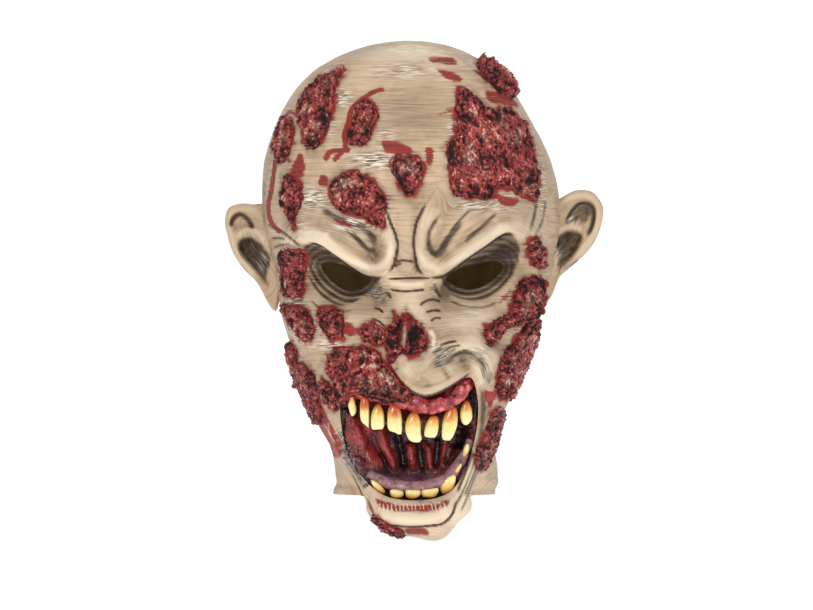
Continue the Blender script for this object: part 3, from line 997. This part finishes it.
for name, level_of_red, mauve, stations in gum_rolls:
    path = smooth_path(stations, step=0.8)
    ahead = np.gradient(path[:, :2], axis=0)
    ahead /= np.linalg.norm(ahead, axis=1, keepdims=True)
    round_angles = np.linspace(0, 2 * np.pi, 41)
    made, row, column = grid_of(len(path), 41)
    station = np.arange(len(path))
    from_end = np.minimum(station, len(path) - 1 - station)
    middle, radius = path[:, :2], path[:, 2] * smoothstep(0, 4, from_end + 0.4)
    depth = front_at(middle[:, 0], middle[:, 1]) + gum_set_back
    cross = np.stack([-ahead[:, 1], ahead[:, 0]], -1)
    u = middle[:, None, 0] + (cross[:, None, 0] * radius[:, None]) * np.cos(round_angles)
    v = middle[:, None, 1] + (cross[:, None, 1] * radius[:, None]) * np.cos(round_angles)
    y = depth[:, None] + unit * radius[:, None] * np.sin(round_angles)
    points = undrawn(u, v, y)
    centre = undrawn(middle[:, 0], middle[:, 1], depth)
    outward = points - centre[:, None]
    outward /= np.maximum(np.linalg.norm(outward, axis=-1, keepdims=True), 1e-6)
    lumps = 0.6 * clumps(points, 0.0056, 91) + 0.4 * clumps(points, 0.0024, 92)
    lumpy = 0.0027 * (1 - 0.8 * mauve)
    points = points + outward * (lumpy * (lumps - 0.5) * (radius[:, None] > 2))[..., None]
    made_tone = np.clip(level_of_red + 0.8 * (1 - 0.6 * mauve) * (lumps - 0.5), 0, 1)
    lay(made, points[row, column], raised=made_tone[row, column], mauve=np.full(len(row), mauve))
    bmesh.ops.remove_doubles(made, verts=made.verts, dist=2e-5)
    ends = [edge for edge in made.edges if edge.is_boundary]
    bmesh.ops.holes_fill(made, edges=ends)
    bmesh.ops.recalc_face_normals(made, faces=made.faces)
    fit(piece_from(made, name.replace("_gum", "_gum_roll"), gum_latex), "gum_latex", name)

# The teeth: fifteen single teeth of hard latex, cast yellow, stained orange and red at the root, varnished
# and set into the gums one by one.

# varnished tooth: smooth yellow latex under varnish, with one soft highlight on each tooth
enamel = new_material("varnished_tooth")
place = add(enamel, "TexCoord")["Object"]
root = add(enamel, "Attribute", attribute_name="root")["Fac"]
bloody = add(enamel, "Attribute", attribute_name="bloody")["Fac"]
cloudy = add(enamel, "TexNoise", {"Vector": place, "Scale": 1 / 0.004, "Detail": 3.0})["Fac"]
lift = add(enamel, "Math", {0: cloudy, 1: 0.3, 2: -0.15}, operation="MULTIPLY_ADD")[0]
tone = add(enamel, "Math", {0: root, 1: lift}, operation="ADD")[0]
yellow = add(enamel, "ValToRGB", {0: tone}, ramp=((0.0, "#F2E9B4"), (0.45, "#EBD88A"), (0.68, "#E0A848"),
    (0.85, "#CC7C34"), (1.0, "#8A4A26")))[0]
yellow = add(enamel, "Mix", {0: bloody, 6: yellow, 7: "#C03E26"}, data_type="RGBA")[2]
fine = add(enamel, "TexNoise", {"Vector": place, "Scale": 1 / 0.0012, "Detail": 2.0})["Fac"]
bump = add(enamel, "Bump", {"Strength": 0.12, "Distance": 0.0004, "Height": fine})[0]
shader = add(enamel, "BsdfPrincipled", {"Base Color": yellow, "Roughness": 0.22, "Normal": bump, "IOR": 1.5})
add(enamel, "OutputMaterial", {"Surface": shader[0]})
tooth_set_back, tooth_half = 0.0058, 0.003
teeth = [
    # name, red at the root, then the outline
    ("upper_tooth_1", 0.0, [(349.4, 390), (353, 389.5), (355.4, 397.9), (357.3, 406.4), (356.1, 411.8),
        (352.4, 413.9), (350, 407.6), (348.2, 399)]),
    ("upper_tooth_2", 0.95, [(365, 390.5), (368.5, 394), (369.9, 404), (369.6, 424.5), (366.4, 422.5),
        (361.5, 417.3), (360.7, 404), (362, 395)]),
    ("upper_tooth_3", 0.0, [(378.5, 400.5), (382.3, 405), (384.4, 412.4), (384, 425), (378.5, 426.5),
        (372.2, 425.7), (371.8, 412.4), (374.4, 405)]),
    ("upper_tooth_4", 0.9, [(393.6, 399.5), (398.7, 403.3), (401.7, 413.6), (401.4, 431.4), (395.4, 429.6),
        (388.6, 426.3), (387.6, 413.6), (389.4, 404)]),
    ("upper_tooth_5", 0.0, [(413.6, 408), (418, 411.8), (420.4, 419.7), (420.5, 431), (421.8, 434),
        (419.6, 439), (410.4, 438), (406, 430.6), (405.2, 422), (408.2, 413)]),
    ("upper_tooth_6", 0.0, [(433, 412), (437.4, 414.8), (438, 423.3), (436.8, 430.6), (434.2, 434.4),
        (428, 434.4), (423.7, 432.4), (425, 423.3), (428, 416)]),
    ("upper_tooth_7", 0.55, [(451.2, 402), (455.6, 406.3), (456.8, 417.3), (455, 427), (450, 436.8),
        (445, 437.4), (441.3, 435.4), (441.3, 423.3), (443.2, 413.6), (446.9, 406)]),
    ("upper_tooth_8", 0.45, [(465.1, 397), (469, 401.5), (471, 410), (470.6, 416.6), (466.9, 421.7),
        (463.3, 422.3), (460.2, 418.5), (459.2, 410), (461.5, 401)]),
    ("lower_tooth_1", 0.0, [(371.5, 476.2), (378.5, 479.3), (385, 486), (385.2, 490), (380.5, 489.5),
        (374.5, 484.3)]),
    ("lower_tooth_2", 0.0, [(390.3, 486.2), (396.6, 485.6), (403, 487.6), (403, 492), (397.9, 494.5),
        (391.8, 493)]),
    ("lower_tooth_3", 0.0, [(405.8, 486.2), (412.4, 485.8), (419.7, 486.5), (419.4, 492), (412.4, 495),
        (406.4, 493)]),
    ("lower_tooth_4", 0.0, [(421.5, 486.5), (430.6, 484.6), (437.5, 484), (437.6, 488.5), (433, 493.6),
        (423, 493)]),
    ("lower_tooth_5", 0.0, [(438.8, 477.5), (446.3, 473.8), (453.2, 471), (455, 474.2), (453.4, 482),
        (450, 488.5), (442, 490.4), (439.4, 484)]),
    ("lower_tooth_6", 0.0, [(452, 468.6), (457, 463), (460.6, 459.2), (460.4, 463.3), (456.6, 470),
        (453.4, 473)]),
    ("lower_tooth_7", 0.0, [(461.2, 453.6), (463, 445), (466.3, 440.3), (468.3, 443.9), (466.3, 451.6),
        (462.7, 455.4)]),
]


def reach_round(shape, heart, angle):
    """How far an outline lies from its heart in each direction."""
    spokes = shape - heart
    angles = np.arctan2(spokes[:, 1], spokes[:, 0])
    order = np.argsort(angles)
    return np.interp(angle, angles[order], np.linalg.norm(spokes, axis=1)[order], period=2 * np.pi)


for name, red_root, outline in teeth:
    shape = smooth_path(outline, closed=True, step=1.0)[:-1]
    heart = shape.mean(axis=0)
    made = bmesh.new()
    bmesh.ops.create_uvsphere(made, u_segments=32, v_segments=18, radius=1)
    ball = np.array([vertex.co[:] for vertex in made.verts])
    angle = np.arctan2(ball[:, 1], ball[:, 0])
    out = np.sqrt(ball[:, 0] ** 2 + ball[:, 1] ** 2) ** 0.62
    reach = reach_round(shape, heart, angle)
    u, v = heart[0] + out * reach * np.cos(angle), heart[1] + out * reach * np.sin(angle)
    upper = name.startswith("upper")
    top, bottom = shape[:, 1].min(), shape[:, 1].max()
    to_root = (bottom - v) / (bottom - top) if upper else (v - top) / (bottom - top)
    depth = front_at(heart[:1], heart[1:])[0] + tooth_set_back
    thick = tooth_half * (0.75 + 0.35 * to_root)
    y = depth - np.sign(ball[:, 2]) * np.abs(ball[:, 2]) ** 0.8 * thick
    y += 0.0012 * to_root
    points = undrawn(u, v, y)
    stain = np.exp(-((u - heart[0]) / (0.3 * reach.max())) ** 2)
    stain *= smoothstep(0.45, 0.62, to_root) * smoothstep(1.05, 0.85, to_root)
    lay(made, points, root=to_root if upper else 0.25 + 0.55 * to_root, bloody=red_root * stain)
    bmesh.ops.recalc_face_normals(made, faces=made.faces)
    fit(piece_from(made, name.replace("tooth", "cast_tooth"), enamel), "tooth_enamel", name)

# The ears: cast on their own in the same latex and glued to the sides of the head, with a rolled rim, a
# torn fold and a deep bowl that holds the dark wash.
ears = [
    dict(name="ear_right", side=-1, heart=(252, 246), out=107.0, outline=[(262, 203), (253, 203.5),
        (244, 202.5),
        (235, 203.5), (227, 208), (224, 221), (226.5, 234), (231, 249), (237, 260), (246, 271), (255, 280),
        (262, 291),
        (268, 303), (275, 311), (279, 300), (280, 280), (280, 250), (278, 225), (272, 208)],
        rim=[(266, 211), (254, 208), (242, 207), (232, 210.5), (228.5, 221), (231, 234), (236, 248), (243, 260),
        (252, 271), (260, 281)],
        lines=[("groove", 2.6, 2.4, 0.9, [(230, 228), (232, 219), (238, 213.5), (244, 215.5), (249, 221),
            (254, 230)]),
            ("ridge", 3.4, 2.0, -0.5, [(237, 240), (241, 231), (250, 228), (259, 233), (266, 243)]),
            ("ridge", 3.0, 1.8, -0.4, [(267, 228), (268, 238), (266, 247)]),
            ("groove", 2.2, 1.8, 0.95, [(270, 228), (273, 240), (272, 258)]),
            ("groove", 1.6, 0.8, 0.7, [(238, 262), (248, 274), (258, 284)])],
        scrubs=[(262, 262, 5, 9, 0.6), (268, 214, 4, 12, 0.5)],
        bowls=[(7.0, 0.95, [(238, 243), (244, 237), (252, 237), (260, 243), (266, 250), (270, 256), (269, 264),
            (266, 275),
        (268, 284), (263, 279), (256, 270), (246, 260), (240, 253)]), (2.4, 0.15, [(232, 222), (238, 216),
        (246, 219), (250, 225), (240, 228), (234, 230)])]),
    dict(name="ear_left", side=1, heart=(568, 236), out=111.0, outline=[(559, 198.5), (569, 192.5),
        (576, 189.5),
        (585, 189), (593, 191), (600, 198), (604, 207), (603, 220), (599, 233), (592, 246), (582, 257),
        (570, 267),
        (561, 275), (556, 283), (553, 293), (547, 303), (540, 307), (536, 295), (536, 270), (538, 240),
        (545, 215), (552, 204)],
        rim=[(556, 206), (566, 198.5), (577, 194.5), (588, 194.5), (597, 201), (599.5, 213), (596, 228),
            (589, 241),
        (579, 252), (568, 261)],
        lines=[("groove", 2.2, 2.4, 1.0, [(566, 226), (570, 214), (579, 203.5), (589, 203), (594, 211),
            (592, 226), (585, 238)]),
            ("ridge", 3.6, 2.2, -0.5, [(553, 234), (563, 227), (574, 225.5), (585, 230)]),
            ("ridge", 3.2, 2.2, -0.5, [(553, 252), (556, 259), (556, 268)]),
            ("groove", 2.0, 1.6, 0.9, [(551, 226), (549, 240), (550, 258)]),
            ("groove", 1.6, 0.8, 0.6, [(580, 258), (569, 268), (560, 279)])],
        scrubs=[(573, 219, 6, 4, 0.7), (560, 256, 5, 8, 0.5), (549, 240, 3, 20, 0.4)],
        bowls=[(7.0, 0.85, [(554, 241), (563, 232), (573, 230.5), (582, 234), (581, 242), (574, 254),
            (566, 262), (557, 266),
        (559, 254)]), (3.0, 0.7, [(569, 220), (575, 209), (583, 203), (591, 205), (592, 214), (585, 222),
        (577, 220)])]),
]
for ear in ears:
    shape = smooth_path(ear["outline"], closed=True, step=1.0)[:-1]
    heart = np.array(ear["heart"], float)
    rings, around_count = 56, 145
    made, row, column = grid_of(rings, around_count)
    share, angle = np.meshgrid(np.linspace(0, 1, rings), np.linspace(-np.pi, np.pi, around_count), indexing="ij")
    reach = reach_round(shape, heart, angle)
    u, v = heart[0] + share * reach * np.cos(angle), heart[1] + share * reach * np.sin(angle)
    far_out = np.abs(u - middle_across) * unit
    y = 0.0125 + 0.62 * (far_out - ear["out"] * 0.001)
    height, wash_here, pale_here = np.zeros(u.shape), np.full(u.shape, 0.06), np.zeros(u.shape)
    for kind, width, rise, ink, points in [("ridge", 5.0, 4.2, -0.45, ear["rim"])] + ear["lines"]:
        far, _, along = along_path(u, v, smooth_path(points))
        bell = np.exp(-(far / width) ** 2) * smoothstep(0, 0.14, np.minimum(along, 1 - along))
        height += 0.001 * rise * bell * (1 if kind == "ridge" else -1)
        if ink > 0:
            wash_here = np.maximum(wash_here, ink * bell)
        else:
            pale_here = np.maximum(pale_here, -ink * bell)
    for depth, ink, outline in ear["bowls"]:
        inside = inside_by(u, v, smooth_path(outline, closed=True))
        height -= 0.001 * depth * smoothstep(-2.5, 5, inside)
        shade = ink * (0.85 + 0.25 * mottle(np.stack([u, v, 0 * u], -1), 4.0, 16))
        wash_here = np.maximum(wash_here, smoothstep(-2.5, 3, inside) * shade)
    scrub_here = np.zeros(u.shape)
    for *patch, strong in ear["scrubs"]:
        scrub_here = np.maximum(scrub_here, strong * soft_spot(u, v, *patch))
    height -= 0.0035 * smoothstep(0.9, 1.0, share) ** 2
    points = undrawn(u, v, y - height)
    points[..., 1] -= 0.0002 * mottle(points, 0.006, 15)
    made_grain = unit * (smooth_path(ear["rim"])[:, 1].mean() + along_path(u, v, smooth_path(ear["rim"]))[0])
    lay(made, points[row, column], grain=made_grain[row, column], wash=np.clip(wash_here, 0, 1)[row, column],
        pale=pale_here[row, column], blood=np.zeros(len(row)), scrub=scrub_here[row, column])
    bmesh.ops.remove_doubles(made, verts=made.verts, dist=1e-5)
    turn_faces(made)
    ear_piece = piece_from(made, ear["name"] + "_latex", latex)
    shell = ear_piece.modifiers.new("wall", "SOLIDIFY")
    shell.thickness, shell.offset = 0.0035, -1
    fit(ear_piece, "skin_latex", ear["name"])

# The studio: a pale sweep of paper under and behind the mask, three soft lights and the camera in front.

# white paper: matt, and bright enough to burn out behind the mask
paper = new_material("white_paper")
shader = add(paper, "BsdfPrincipled", {"Base Color": "#F8F8F8", "Roughness": 0.9,
    "Emission Color": "#FFFFFF", "Emission Strength": 0.5})
add(paper, "OutputMaterial", {"Surface": shader[0]})
made = bmesh.new()
bmesh.ops.create_grid(made, x_segments=1, y_segments=60, size=1)
floor_down, floor_front, floor_back, bend_radius, paper_rise = -0.42, -9.0, 8.0, 2.0, 4.0
bend_length = bend_radius * math.pi / 2
for vertex in made.verts:
    along = (vertex.co.y + 1) / 2 * (floor_back - floor_front + bend_length + paper_rise) + floor_front
    bend = min(max((along - floor_back) / bend_radius, 0), math.pi / 2)
    vertex.co.x *= 9
    vertex.co.y = min(along, floor_back) + bend_radius * math.sin(bend)
    vertex.co.z = floor_down + bend_radius * (1 - math.cos(bend)) + max(along - floor_back - bend_length, 0)
floor = piece_from(made, "paper_sweep", paper)

for name, where, size, power, aim in (
    ("key_light", (-0.6, -2.3, 0.35), 0.35, 15, (0, 0, -0.17)),
    ("fill_light", (1.2, -1.8, -0.1), 1.2, 9, (0, 0, -0.2)),
    ("top_light", (0, -0.25, 1.3), 0.9, 8, (0, 0, -0.1)),
):
    lamp = bpy.data.lights.new(name, "AREA")
    lamp.shape, lamp.size, lamp.energy = "DISK", size, power
    holder = bpy.data.objects.new(name, lamp)
    holder.location = where
    direction = np.array(aim) - np.array(where)
    flat = math.hypot(direction[0], direction[1])
    holder.rotation_euler = (math.atan2(flat, -direction[2]), 0, math.atan2(direction[0], -direction[1]) + math.pi)
    bpy.context.scene.collection.objects.link(holder)

world = bpy.data.worlds.new("studio")
world.use_nodes = True
world.node_tree.nodes["Background"].inputs[0].default_value = (1, 1, 1, 1)
world.node_tree.nodes["Background"].inputs[1].default_value = 0.45
bpy.context.scene.world = world
bpy.context.scene.view_settings.view_transform = "Standard"

# the frame is 813 units of the drawing across, seen from 6 m
camera_back, frame_across = 6.0, 0.5488
lens = bpy.data.cameras.new("camera")
lens.sensor_width = 36
lens.lens = lens.sensor_width * camera_back / frame_across
camera = bpy.data.objects.new("camera", lens)
camera.location = (-0.0024, -camera_back, -0.1759)
camera.rotation_euler = (math.pi / 2, 0, 0)
bpy.context.scene.collection.objects.link(camera)
bpy.context.scene.camera = camera
